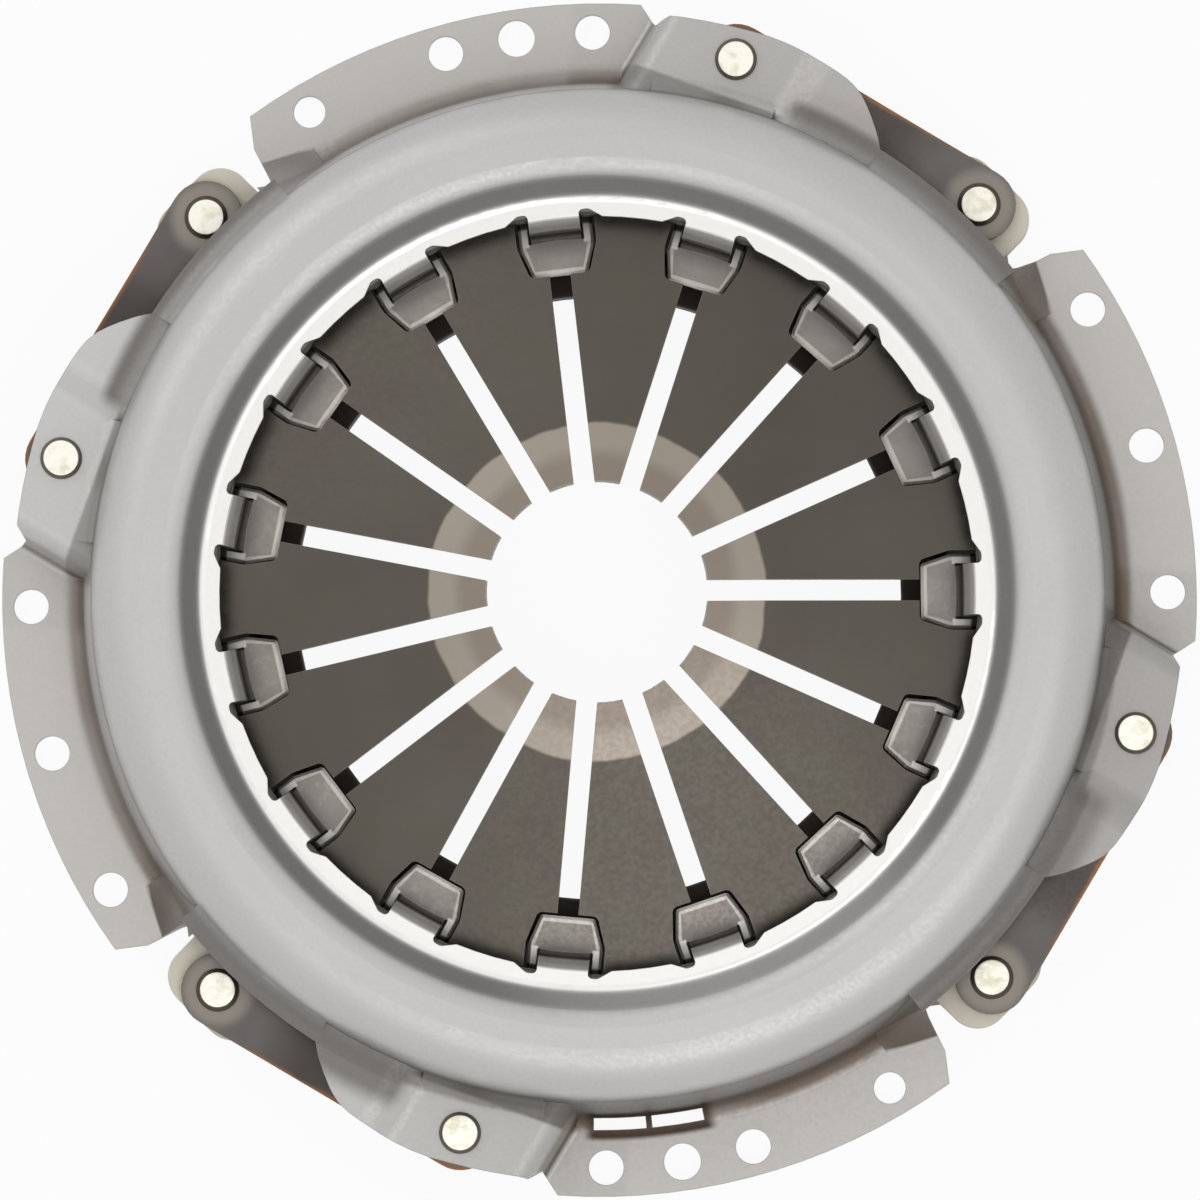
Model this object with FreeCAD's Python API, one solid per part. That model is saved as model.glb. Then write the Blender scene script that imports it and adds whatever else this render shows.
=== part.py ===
"""Clutch pressure plate: a push-type clutch cover assembly for a 250 mm class disc.

Frame: millimetres, +Z points from the flywheel to the transmission, and the origin is the
centre of the flywheel face of the bolting flange. The pieces stand in the free, unbolted state:
the diaphragm spring is a tall cone and the drive straps are bent down to the pressure plate.
"""
import FreeCAD, Part
import math
import os

V = FreeCAD.Vector
AXIS = V(0, 0, 1)
CENTRE = V(0, 0, 0)

# Clutch geometry in height
lift = 3.6                    # travel of the pressure plate, free state to fully released
friction_face_z = 4.4         # friction face of the pressure plate in the free state
seat_gap = 0.1                # play left between a pivot ring and what it touches
tab_clearance = 1.0           # left between the casting and the tabs at full lift

# Cover, pressed from steel sheet
sheet = 3.6
rim_lap = 2.4                 # how far the flat rim reaches inside the pivot circle
rim_width = 4.9               # from its inner edge to the foot of the groove slope
rim_root = 1.0                # how far short of that foot the tabs start
groove_run = 7.3              # plan width of the groove slope
dome_width = 19.0             # from the slope to the corner of the wall, before rounding
wall_run = 5.5                # plan width of the wall
dome_rise = 7.0               # dome top above the flat rim
bolt_lap = 13.0               # from the foot of the wall to the bolt circle
flange_edge = 7.5             # from the bolt circle to the rim of the flange
groove_bend = 3.0
shoulder_bend = 9.0
foot_bend = 5.0
pocket_count = 4

# Bolting flange
bolt_hole_r = 4.5
wide_hole_r = 4.75
dowel_hole_r = 4.1
bolt_angles = (0.7, 15.7, 30.7, 90.7, 105.7, 180.7, 195.7, 210.7, 270.7, 285.7)
wide_angles = (98.4, 278.4)
dowel_angles = (120.7, 300.7)

# Tabs of the cover that hold the pivot rings
tab_count = 15
tab_start_deg = 0.7           # angle of the first tab, spring window and finger slot
tab_width = 13.2
tab_bend = 1.6
tab_ring_gap = 0.3            # between the leg of a tab and the pivot rings
head_length = 10.8            # from the leg of a tab to the inner end of its head
head_inner_half = 7.0         # half the width of the head there
head_shoulder = 3.4           # from the leg to where the sides become parallel
head_half = 9.6               # half the width at the ears
head_rise_deg = 12.0          # how steeply the head climbs towards the axis
head_bevel = 0.7
ear_lap = 1.5                 # how far the ears reach out past the pivot circle
ear_relief = 0.6              # cut between the leg and each ear
root_notch = 1.6              # depth of the relief notches in the rim's edge beside a tab
root_notch_floor = 2.6        # width of their floor
root_notch_mouth = 6.3        # width at the rim's edge

# Diaphragm spring
spring_thickness = 2.8
spring_lap = 4.0              # how far the spring reaches out past the fulcrum
spring_tip_r = 28.5
spring_cone_deg = 14.0
tip_bend_r = 43.5             # where the finger tips flatten for the release bearing
tip_cone_deg = 8.0
slot_width = 5.4
window_gap = 0.7              # between a window and the head of a tab, as seen from above
window_corner = 1.8

# Pivot rings, bent from round wire
pivot_r = 99.7
ring_wire_r = 1.8

# Pressure plate casting
plate_gap = 2.5               # from the casting to the corner of the cover's wall
bore_inset = 5.2              # how far the bore lies inside the heads of the tabs
collar_width = 10.0
collar_height = 10.4          # collar top above the friction face
channel_height = 8.4          # thickness under the tabs of the cover
land_height = 10.6            # outer land above the friction face
land_width = 8.0              # from the fulcrum to the rim of the casting
fulcrum_radius = 3.0
fulcrum_gap = 0.15
lug_height = 8.6              # strap seat above the friction face
lug_underside = 1.2           # lug underside above the friction face
lug_edge = 9.0                # from the lug rivet to the rim of the lug
lug_start_deg = 40.2
lug_end_deg = 51.6
lug_corner = 8.5

# Drive straps
strap_leaf = 0.8
strap_leaf_gap = 0.04
strap_leaves = 3
strap_width = 19.0
strap_preload = 0.75          # bend that is left in the straps at full lift
strap_flat = 13.0             # flat length past each rivet
strap_bend = 30.0
pad_rivet_lap = 9.0           # from the foot of the wall to the pad rivet
pad_rivet_deg = 75.6
lug_rivet_lap = 7.2           # from the foot of the wall to the lug rivet
lug_rivet_deg = 45.9

# Strap pads of the cover, along the strap from the pad rivet
pad_back = 21.4               # pad edge behind the rivet
pad_front = 14.5              # pad edge before the rivet
ramp_run = 2.8                # plan length of the steep ramp up from the flange
ledge_front = 22.2            # where the slope reaches the ledge
ledge_rise = 3.6              # ledge above the pad
ramp_bend = 1.5
pad_edge = 8.1                # from the pad rivet to the rim of the pad
lip_lap = 2.1                 # how far the lip over a strap reaches out past the foot of the wall
flare_lap = 11.0              # the same for the flared end of a flange segment
flare_deg = 7.5               # length of the flare, as an angle
lip_start_deg = 2.0           # from the outer corner of the segment to the start of the lip
flare_over_deg = 2.0          # how far the flare laps over the lip before it is trimmed
slope_bend = 6.0
ledge_end = 46.0              # how far the ledge could reach along the strap
ledge_edge = (                # free edge of the ledge: share of the way out from the wall, degrees
    (0.0, 56.0),
    (0.34, 57.8),
    (0.60, 60.3),
    (0.815, 63.1),
    (0.90, 66.2),
    (0.96, 69.2),
    (1.0, 73.0),
)
pad_back_deg = 89.5           # where the plan of the ramp and the pad stops
pad_bead_deg = (70.0, 84.0)
skirt_in = -34.0              # the skirt's section is swept this far in and out of the rivet
skirt_out = 30.0
window_lap_deg = 1.6          # how far the strap window runs past the start of the ledge
flange_end_deg = 35.85        # outer corners of a flange segment
flange_start_deg = 86.0
notch_depth = 2.4             # notch between a pad and the next flange segment, inside the pad's edge
notch_deg = 84.3

# Slots through the foot of the cover, as start and end angles
vent_slots = ((269.4, 275.1), (275.75, 281.4))
vent_start = 0.2              # from the foot of the wall
vent_width = 3.1

# Rivets
rivet_shank_r = 3.0
rivet_fit = 0.05
rivet_head_r = 5.4
rivet_head_top_r = 4.5
rivet_head = 2.2
rivet_tail_r = 5.6
rivet_tail = 2.2
rivet_edge = 0.5              # chamfer and straight edge of a rivet's heads
lug_counterbore_r = 6.6
counterbore_depth = 2.8

# Radii and heights that follow from the values above
rim_inner_r = pivot_r - rim_lap
rim_outer_r = rim_inner_r + rim_width
dome_inner_r = rim_outer_r + groove_run
shoulder_r = dome_inner_r + dome_width
wall_foot_r = shoulder_r + wall_run
bolt_circle_r = wall_foot_r + bolt_lap
flange_outer_r = bolt_circle_r + flange_edge
pad_rivet_r = wall_foot_r + pad_rivet_lap
lug_rivet_r = wall_foot_r + lug_rivet_lap
pad_outer_r = pad_rivet_r + pad_edge
notch_r = pad_outer_r - notch_depth
lug_outer_r = lug_rivet_r + lug_edge
window_end_deg = ledge_edge[0][1] + window_lap_deg
tab_leg_r = pivot_r - ring_wire_r - tab_ring_gap - sheet
head_inner_r = tab_leg_r - head_length
head_shoulder_r = tab_leg_r - head_shoulder
ear_end_r = pivot_r + ear_lap
window_outer_r = tab_leg_r + sheet + window_gap
plate_outer_r = shoulder_r - plate_gap
fulcrum_r = plate_outer_r - land_width
spring_outer_r = fulcrum_r + spring_lap
plate_bore_r = head_inner_r - bore_inset
collar_outer_r = plate_bore_r + collar_width
cone_tan = math.tan(math.radians(spring_cone_deg))
cone_cos = math.cos(math.radians(spring_cone_deg))
head_tan = math.tan(math.radians(head_rise_deg))
head_cos = math.cos(math.radians(head_rise_deg))
channel_z = friction_face_z + channel_height
ear_bottom_z = channel_z + lift + tab_clearance
ear_top_z = ear_bottom_z + sheet / head_cos
ring_offset = (spring_thickness / 2 + ring_wire_r + seat_gap) / cone_cos
lower_ring_z = ear_top_z + (ear_end_r - pivot_r) * head_tan + (ring_wire_r + seat_gap) / head_cos
pivot_z = lower_ring_z + ring_offset
upper_ring_z = pivot_z + ring_offset
rim_top_z = upper_ring_z + ring_wire_r + seat_gap + sheet
dome_top_z = rim_top_z + dome_rise
lug_top_z = friction_face_z + lug_height
strap_pitch = strap_leaf + strap_leaf_gap
strap_pack = strap_leaves * strap_pitch
strap_drop = lift + strap_preload
pad_under_z = lug_top_z + strap_pack + strap_drop
pad_top_z = pad_under_z + sheet
ledge_top_z = pad_top_z + ledge_rise
window_top_z = ledge_top_z - sheet


def polar(radius, degrees, z=0.0):
    angle = math.radians(degrees)
    return V(radius * math.cos(angle), radius * math.sin(angle), z)


def turned(shape, degrees):
    copy = shape.copy()
    copy.rotate(CENTRE, AXIS, degrees)
    return copy


def pattern(shape, count, start_deg=0.0):
    return [turned(shape, start_deg + 360.0 * k / count) for k in range(count)]


def joined(shapes):
    result = shapes[0]
    if len(shapes) > 1:
        result = result.fuse(shapes[1:])
    return result.removeSplitter()


def directions(points):
    steps = [(b[0] - a[0], b[1] - a[1]) for a, b in zip(points, points[1:])]
    return [(x / math.hypot(x, y), y / math.hypot(x, y)) for x, y in steps]


def parallel(points, distance):
    """The same polyline moved sideways, to the left of its course."""
    ways = directions(points)
    normals = [(-y, x) for x, y in ways]
    moved = []
    for i, (a, b) in enumerate(points):
        before = normals[max(i - 1, 0)]
        after = normals[min(i, len(normals) - 1)]
        share = distance / (1 + before[0] * after[0] + before[1] * after[1])
        moved.append((a + (before[0] + after[0]) * share, b + (before[1] + after[1]) * share))
    return moved


def rounded(points, radii, place):
    """Edges along an open polyline, with an arc of its own radius at each inner corner."""
    ways = directions(points)
    edges = []
    start = points[0]
    for i, radius in enumerate(radii):
        corner = points[i + 1]
        if radius == 0:
            edges.append(Part.LineSegment(place(*start), place(*corner)).toShape())
            start = corner
            continue
        (ax, ay), (bx, by) = ways[i], ways[i + 1]
        turn = math.acos(max(-1.0, min(1.0, ax * bx + ay * by)))
        reach = radius * math.tan(turn / 2)
        first = (corner[0] - ax * reach, corner[1] - ay * reach)
        last = (corner[0] + bx * reach, corner[1] + by * reach)
        inward = math.hypot(bx - ax, by - ay)
        depth = radius / math.cos(turn / 2) - radius
        middle = (corner[0] + (bx - ax) / inward * depth, corner[1] + (by - ay) / inward * depth)
        edges.append(Part.LineSegment(place(*start), place(*first)).toShape())
        edges.append(Part.Arc(place(*first), place(*middle), place(*last)).toShape())
        start = last
    edges.append(Part.LineSegment(place(*start), place(*points[-1])).toShape())
    return edges


def bent_sheet(points, bends, thickness, place):
    """Section of a bent sheet: one side follows the points, the other lies to its left.

    Each bend is the inner radius at that corner, so the outer radius is larger by the sheet.
    """
    ways = directions(points)
    near, far = [], []
    for i, bend in enumerate(bends):
        (ax, ay), (bx, by) = ways[i], ways[i + 1]
        left_turn = ax * by - ay * bx > 0
        near.append(bend + thickness if left_turn else bend)
        far.append(bend if left_turn else bend + thickness)
    other = parallel(points, thickness)
    edges = rounded(points, near, place)
    edges.append(Part.LineSegment(place(*points[-1]), place(*other[-1])).toShape())
    edges += rounded(other[::-1], far[::-1], place)
    edges.append(Part.LineSegment(place(*other[0]), place(*points[0])).toShape())
    return Part.Face(Part.Wire(edges))


def in_section(radius, z):
    return V(radius, 0, z)


def revolved(face):
    return face.revolve(CENTRE, AXIS, 360)


def ring_sector(inner_r, outer_r, start_deg, end_deg, z_low, z_high):
    """Solid piece of a ring between two angles."""
    middle = (start_deg + end_deg) / 2
    outer = Part.Arc(polar(outer_r, start_deg), polar(outer_r, middle), polar(outer_r, end_deg))
    inner = Part.Arc(polar(inner_r, end_deg), polar(inner_r, middle), polar(inner_r, start_deg))
    wire = Part.Wire([
        outer.toShape(),
        Part.LineSegment(polar(outer_r, end_deg), polar(inner_r, end_deg)).toShape(),
        inner.toShape(),
        Part.LineSegment(polar(inner_r, start_deg), polar(outer_r, start_deg)).toShape(),
    ])
    face = Part.Face(wire)
    face.translate(V(0, 0, z_low))
    return face.extrude(V(0, 0, z_high - z_low))


def prism(corners, z_low, z_high):
    """Upright prism over corners given as (radius, degrees)."""
    points = [polar(radius, degrees, z_low) for radius, degrees in corners]
    face = Part.Face(Part.makePolygon(points + points[:1]))
    return face.extrude(V(0, 0, z_high - z_low))


def wall_r(z):
    """Outer radius of the cover's wall at a height."""
    share = (dome_top_z - z) / (dome_top_z - sheet)
    return shoulder_r + (wall_foot_r - shoulder_r) * share


# The strap frame of the first pocket: along the strap, across it outward, and up
pad_rivet = polar(pad_rivet_r, pad_rivet_deg)
lug_rivet = polar(lug_rivet_r, lug_rivet_deg)
strap_span = (lug_rivet - pad_rivet).Length
along = (lug_rivet - pad_rivet).normalize()
across = AXIS.cross(along)


def in_pocket(u, v, z):
    return pad_rivet + along * u + across * v + AXIS * z


def cover_blank():
    """The drawn shell before its pockets are cut: rim, groove, dome, wall and full flange."""
    points = [
        (flange_outer_r, sheet),
        (wall_foot_r, sheet),
        (shoulder_r, dome_top_z),
        (dome_inner_r, dome_top_z),
        (rim_outer_r, rim_top_z),
        (rim_inner_r, rim_top_z),
    ]
    bends = [foot_bend, shoulder_bend, groove_bend, groove_bend]
    return revolved(bent_sheet(points, bends, sheet, in_section))


def skirt_points():
    """Top side of the skirt along a pocket: flange, ramp, strap pad, slope and ledge."""
    ramp_foot = -pad_back - ramp_run
    return [
        (ramp_foot - 2 * sheet, sheet),
        (ramp_foot, sheet),
        (-pad_back, pad_top_z),
        (pad_front, pad_top_z),
        (ledge_front, ledge_top_z),
        (ledge_end, ledge_top_z),
    ]


def across_pocket(line, radii, closing_z):
    """Prism across the strap, under a line of the skirt and down to a height."""
    def place(u, z):
        return in_pocket(u, skirt_in, z)

    low = [(line[-1][0], closing_z), (line[0][0], closing_z), line[0]]
    edges = rounded(line, radii, place) + rounded([line[-1]] + low, [0, 0], place)
    return Part.Face(Part.Wire(edges)).extrude(across * (skirt_out - skirt_in))


def pad_outline():
    """Upright prism over the plan of a pad and its ledge, which ends in a free curved edge."""
    inner_r = wall_r(ledge_top_z) - sheet / 2
    plan = [(inner_r + share * (pad_outer_r - inner_r), degrees) for share, degrees in ledge_edge]
    edge = Part.BSplineCurve()
    edge.interpolate([polar(radius, degrees) for radius, degrees in plan])
    first_deg, last_deg = plan[0][1], plan[-1][1]
    middle = (last_deg + pad_back_deg) / 2
    outer = [polar(pad_outer_r, degrees) for degrees in (last_deg, middle, pad_back_deg)]
    inner = [polar(inner_r, degrees) for degrees in (pad_back_deg, middle, first_deg)]
    wire = Part.Wire([
        edge.toShape(),
        Part.Arc(*outer).toShape(),
        Part.LineSegment(outer[-1], inner[0]).toShape(),
        Part.Arc(*inner).toShape(),
    ])
    return Part.Face(wire).extrude(V(0, 0, dome_top_z))


def pocket_block():
    """Ramp, strap pad, slope and ledge of one pocket, before the press side is hollowed."""
    radii = [ramp_bend, ramp_bend + sheet, slope_bend, slope_bend + sheet]
    block = across_pocket(skirt_points(), radii, sheet / 2)
    core = Part.makeCone(wall_r(0) - sheet / 2, wall_r(dome_top_z) - sheet / 2, dome_top_z)
    return block.cut(core).common(pad_outline())


def pocket_hollow():
    """What the press leaves open under the strap pad and the ledge."""
    under = parallel(skirt_points()[::-1], sheet)[::-1][1:]
    return across_pocket(under, [ramp_bend, slope_bend + sheet, slope_bend], -sheet)


def strap_window():
    """Opening in the wall and flange for the strap and the lug."""
    inner_r = shoulder_r - 3 * sheet
    outer_r = flange_outer_r + 4 * sheet
    corners = [
        (inner_r, flange_end_deg + 3.0),
        (wall_foot_r - 1, flange_end_deg + 3.0),
        (wall_foot_r + sheet, flange_end_deg + 2.3),
        (flange_outer_r - flange_edge, flange_end_deg + 1.6),
        (flange_outer_r, flange_end_deg),
        (outer_r, flange_end_deg - 0.4),
        (outer_r, window_end_deg),
        (inner_r, window_end_deg),
    ]
    return prism(corners, -1, window_top_z)


def flange_corner():
    """The notch in the outline between a strap pad and the next flange segment."""
    corners = [
        (flange_outer_r + 5, flange_start_deg),
        (flange_outer_r, flange_start_deg),
        (notch_r, notch_deg),
        (pad_outer_r, notch_deg - 1.3),
        (pad_outer_r + 0.3, notch_deg - 4.0),
        (flange_outer_r + 5, notch_deg - 4.0),
    ]
    return prism(corners, -1, ledge_top_z)


def wall_bead(level_z, start_deg, end_deg):
    """Rounded corner between the wall and a raised level of the skirt."""
    foot = wall_r(level_z)
    top = level_z + foot_bend
    lean = math.atan2(wall_foot_r - shoulder_r, dome_top_z - sheet)
    reach = foot_bend * math.tan((math.pi / 2 - lean) / 2)
    on_wall = (foot - reach * math.sin(lean), level_z + reach * math.cos(lean))
    on_level = (foot + reach, level_z)
    centre = (foot + reach, level_z + foot_bend)
    aim = math.atan2(level_z - centre[1], foot - centre[0])
    middle = (centre[0] + foot_bend * math.cos(aim), centre[1] + foot_bend * math.sin(aim))
    inside = (foot - sheet / 2, level_z - sheet / 2)
    wire = Part.Wire([
        Part.Arc(in_section(*on_wall), in_section(*middle), in_section(*on_level)).toShape(),
        Part.LineSegment(in_section(*on_level), in_section(on_level[0], inside[1])).toShape(),
        Part.LineSegment(in_section(on_level[0], inside[1]), in_section(*inside)).toShape(),
        Part.LineSegment(in_section(*inside), in_section(on_wall[0] - sheet / 2, top)).toShape(),
        Part.LineSegment(in_section(on_wall[0] - sheet / 2, top), in_section(*on_wall)).toShape(),
    ])
    face = Part.Face(wire)
    face.rotate(CENTRE, AXIS, start_deg)
    return face.revolve(CENTRE, AXIS, end_deg - start_deg)


def pocket_lip():
    """Foot of the wall over a strap, trimmed to a narrow lip, and its way down to the flange."""
    start_deg = flange_end_deg + lip_start_deg
    inner_r, lip_r = wall_r(ledge_top_z) - sheet / 2, wall_foot_r + lip_lap
    low_z = window_top_z - sheet / 2
    bead = wall_bead(ledge_top_z, start_deg, window_end_deg)
    strip = ring_sector(inner_r, lip_r, start_deg, window_end_deg, low_z, ledge_top_z)
    fade_z = 2 * sheet
    high = [(inner_r, ledge_top_z), (lip_r, ledge_top_z), (wall_foot_r + flare_lap, sheet)]
    low = [(wall_r(fade_z) - sheet / 2, fade_z), (wall_r(fade_z), fade_z), (wall_foot_r + foot_bend, sheet)]
    flare_start_deg = start_deg + flare_over_deg
    wires = []
    for line, degrees in ((high, flare_start_deg), (low, flare_start_deg - flare_deg)):
        corners = line + [(line[-1][0], sheet / 2), (wall_foot_r - sheet / 2, sheet / 2)]
        places = [polar(radius, degrees, z) for radius, z in corners]
        wires.append(Part.makePolygon(places + places[:1]))
    return joined([bead, strip, Part.makeLoft(wires, True, True)])


def head_z(radius):
    """Height of the upper side of a tab's head and ears at a radius."""
    return ear_top_z + (ear_end_r - radius) * head_tan


def head_plan(grow, inner_r, outer_r, ear_foot, corner, place):
    """Outline of a tab's head seen from above, grown sideways, open at its outer end."""
    inner_half, half = head_inner_half + grow, head_half + grow
    path = [(outer_r, ear_foot), (outer_r, half), (head_shoulder_r, half), (inner_r, inner_half)]
    mirrored = [(radius, -side) for radius, side in path[::-1]]
    radii = [corner, 3 * corner, corner, corner, 3 * corner, corner]
    return rounded(path + mirrored, radii, place)


def tab_head():
    """Head of a tab with its two ears, bevelled along its outline."""
    relief = tab_width / 2 + ear_relief
    fold_r = tab_leg_r - tab_bend * math.tan(math.radians(45 + head_rise_deg / 2)) * head_cos

    def place(radius, side):
        return V(radius, side, ear_bottom_z - sheet)

    slot = [(ear_end_r, -relief), (fold_r, -relief), (fold_r, relief), (ear_end_r, relief)]
    edges = head_plan(0, head_inner_r, ear_end_r, relief, window_corner - window_gap, place)
    plan = Part.Face(Part.Wire(edges + rounded(slot, [0, 0], place)))
    line = [(radius, head_z(radius)) for radius in (ear_end_r + 1, head_inner_r - 1)]
    low = [(radius, z - sheet / head_cos) for radius, z in line[::-1]]
    corners = [V(radius, -head_half - 1, z) for radius, z in line + low]
    slab = Part.Face(Part.makePolygon(corners + corners[:1])).extrude(V(0, 2 * head_half + 2, 0))
    head = slab.common(plan.extrude(V(0, 0, dome_top_z)))
    rim = []
    for edge in head.Edges:
        middle = edge.valueAt((edge.FirstParameter + edge.LastParameter) / 2)
        ends = [vertex.Point for vertex in edge.Vertexes] + [middle]
        on_top = all(abs(point.z - head_z(point.x)) < 0.01 for point in ends)
        if on_top and middle.x < ear_end_r - 0.1 and (abs(middle.y) > relief + 0.1 or middle.x < fold_r - 0.1):
            rim.append(edge)
    return head.makeChamfer(head_bevel, rim)


def cover_tab():
    """Tab bent down from the rim, through a window of the spring, and folded in below it."""
    points = [
        (rim_outer_r - rim_root, rim_top_z),
        (tab_leg_r, rim_top_z),
        (tab_leg_r, head_z(tab_leg_r)),
        (head_shoulder_r - sheet, head_z(head_shoulder_r - sheet)),
    ]
    side = bent_sheet(points, [tab_bend, tab_bend], sheet, lambda r, z: V(r, -tab_width / 2, z))
    return joined([side.extrude(V(0, tab_width, 0)), tab_head()])


def relief_notches():
    """Cuts in the rim beside a tab root, steep at the tab and sloping away from it."""
    near, far = tab_width / 2, tab_width / 2 + root_notch_mouth
    foot_r = rim_inner_r - sheet
    path = [
        (foot_r, near),
        (rim_inner_r + root_notch, near),
        (rim_inner_r + root_notch, near + root_notch_floor),
        (rim_inner_r - 1.0, far),
        (foot_r, far),
        (foot_r, near),
    ]
    notches = []
    for side in (-1, 1):
        edges = rounded(path, [1.2, 1.8, 0, 0], lambda r, y: V(r, side * y, rim_top_z - sheet - 1))
        notches.append(Part.Face(Part.Wire(edges)).extrude(V(0, 0, sheet + 2)))
    return notches


def make_cover():
    solids = [cover_blank()] + pattern(pocket_block(), pocket_count)
    solids += pattern(wall_bead(pad_top_z, pad_bead_deg[0], pad_bead_deg[1]), pocket_count)
    shell = joined(solids + pattern(pocket_lip(), pocket_count))
    holes = pattern(pocket_hollow(), pocket_count) + pattern(strap_window(), pocket_count)
    holes += pattern(flange_corner(), pocket_count)
    flange_holes = (bolt_hole_r, bolt_angles), (wide_hole_r, wide_angles), (dowel_hole_r, dowel_angles)
    for radius, angles in flange_holes:
        places = [polar(bolt_circle_r, degrees, -1) for degrees in angles]
        holes += [Part.makeCylinder(radius, sheet + 2, place) for place in places]
    hole_foot = pad_rivet + V(0, 0, pad_under_z - 1)
    rivet_hole = Part.makeCylinder(rivet_shank_r + rivet_fit, sheet + 2, hole_foot)
    holes += pattern(rivet_hole, pocket_count)
    for start, end in vent_slots:
        inner_r = wall_foot_r + vent_start
        holes.append(ring_sector(inner_r, inner_r + vent_width, start, end, -1, 2 * sheet + foot_bend))
    for notch in relief_notches():
        holes += pattern(notch, tab_count, tab_start_deg)
    shell = shell.cut(holes)
    return joined([shell] + pattern(cover_tab(), tab_count, tab_start_deg))


def cone_z(radius):
    """Height of the middle of the diaphragm spring at a radius."""
    if radius >= tip_bend_r:
        return pivot_z + (pivot_r - radius) * cone_tan
    tip_tan = math.tan(math.radians(tip_cone_deg))
    return cone_z(tip_bend_r) + (tip_bend_r - radius) * tip_tan


def window_wire(height):
    """Rounded outline of a spring window at a height over the middle of the spring."""
    slope = math.radians(spring_cone_deg)

    def on_cone(radius, side):
        outward = (radius - pivot_r) / cone_cos
        x = pivot_r + outward * math.cos(slope) + height * math.sin(slope)
        z = pivot_z - outward * math.sin(slope) + height * math.cos(slope)
        return V(x, side, z)

    inner_r = head_inner_r - window_gap
    edges = head_plan(window_gap, inner_r, window_outer_r, 0, window_corner, on_cone)
    return Part.Wire(edges)


def make_diaphragm():
    half = spring_thickness / 2
    middle = [(r, cone_z(r)) for r in (spring_outer_r, tip_bend_r, spring_tip_r)]
    low = parallel(middle, half)
    high = parallel(middle, -half)
    corners = [in_section(r, z) for r, z in low + high[::-1]]
    disc = revolved(Part.Face(Part.makePolygon(corners + corners[:1])))
    slot = Part.makeBox(head_inner_r, slot_width, 2 * dome_top_z, V(0, -slot_width / 2, 0))
    deep = 2 * spring_thickness
    window = Part.makeLoft([window_wire(-deep), window_wire(deep)], True, True)
    cutters = pattern(slot, tab_count, tab_start_deg) + pattern(window, tab_count, tab_start_deg)
    return disc.cut(cutters)


def pivot_ring(height):
    return Part.makeTorus(pivot_r, ring_wire_r, V(0, 0, height))


def plate_section():
    """Section of the casting: friction face, bore collar, channel, fulcrum ridge and outer land."""
    base = friction_face_z
    cone_low = pivot_z - (fulcrum_r - pivot_r) * cone_tan - spring_thickness / 2 / cone_cos
    ridge_z = cone_low - (fulcrum_radius + fulcrum_gap) / cone_cos
    land = base + land_height
    collar = base + collar_height
    points = [
        (plate_outer_r, base),
        (plate_outer_r, land),
        (fulcrum_r + fulcrum_radius, land),
        (fulcrum_r + fulcrum_radius, ridge_z),
    ]
    edges = rounded(points, [2.5, 1.0], in_section)
    top = in_section(fulcrum_r, ridge_z + fulcrum_radius)
    inner_side = in_section(fulcrum_r - fulcrum_radius, ridge_z)
    edges.append(Part.Arc(in_section(*points[-1]), top, inner_side).toShape())
    rest = [
        (fulcrum_r - fulcrum_radius, ridge_z),
        (fulcrum_r - fulcrum_radius - 1.5, channel_z),
        (collar_outer_r, channel_z),
        (collar_outer_r, collar),
        (plate_bore_r, collar),
        (plate_bore_r, base),
    ]
    edges += rounded(rest, [2.5, 0.9, 0.9, 1.8], in_section)
    edges.append(Part.LineSegment(in_section(*rest[-1]), in_section(*points[0])).toShape())
    return Part.Face(Part.Wire(edges))


def plate_lug():
    """Ear that reaches out through a strap pocket, with its strap seat on top."""
    inner_r = fulcrum_r
    turn = math.degrees(lug_corner / lug_outer_r)
    corners = [
        (inner_r, lug_start_deg - 1.2),
        (lug_outer_r - lug_corner, lug_start_deg),
        (lug_outer_r, lug_start_deg + turn),
        (lug_outer_r, lug_end_deg - turn),
        (lug_outer_r - lug_corner, lug_end_deg),
        (inner_r, lug_end_deg + 1.2),
    ]
    p = [polar(radius, degrees) for radius, degrees in corners]
    diagonal = (1 - math.sqrt(0.5)) * lug_corner
    near = polar(lug_outer_r - diagonal, lug_start_deg + 0.3 * turn)
    far = polar(lug_outer_r - diagonal, lug_end_deg - 0.3 * turn)
    crown = polar(lug_outer_r, (lug_start_deg + lug_end_deg) / 2)
    wire = Part.Wire([
        Part.LineSegment(p[0], p[1]).toShape(),
        Part.Arc(p[1], near, p[2]).toShape(),
        Part.Arc(p[2], crown, p[3]).toShape(),
        Part.Arc(p[3], far, p[4]).toShape(),
        Part.LineSegment(p[4], p[5]).toShape(),
        Part.LineSegment(p[5], p[0]).toShape(),
    ])
    face = Part.Face(wire)
    face.translate(V(0, 0, friction_face_z + lug_underside))
    return face.extrude(V(0, 0, lug_height - lug_underside))


def make_pressure_plate():
    body = revolved(plate_section())
    inner_r = fulcrum_r + fulcrum_radius + 2.0
    strap_end_deg = lug_end_deg + 14
    seat_clear = ring_sector(
        inner_r, plate_outer_r + 1, lug_start_deg - 2, strap_end_deg, lug_top_z, dome_top_z
    )
    body = body.cut(pattern(seat_clear, pocket_count))
    body = joined([body] + pattern(plate_lug(), pocket_count))
    holes = []
    hole = Part.makeCylinder(rivet_shank_r + rivet_fit, lug_top_z + 1, lug_rivet)
    counterbore_top = friction_face_z + lug_underside + counterbore_depth
    counterbore = Part.makeCylinder(lug_counterbore_r, counterbore_top, lug_rivet)
    for shape in (hole, counterbore):
        holes += pattern(shape, pocket_count)
    return body.cut(holes)


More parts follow.
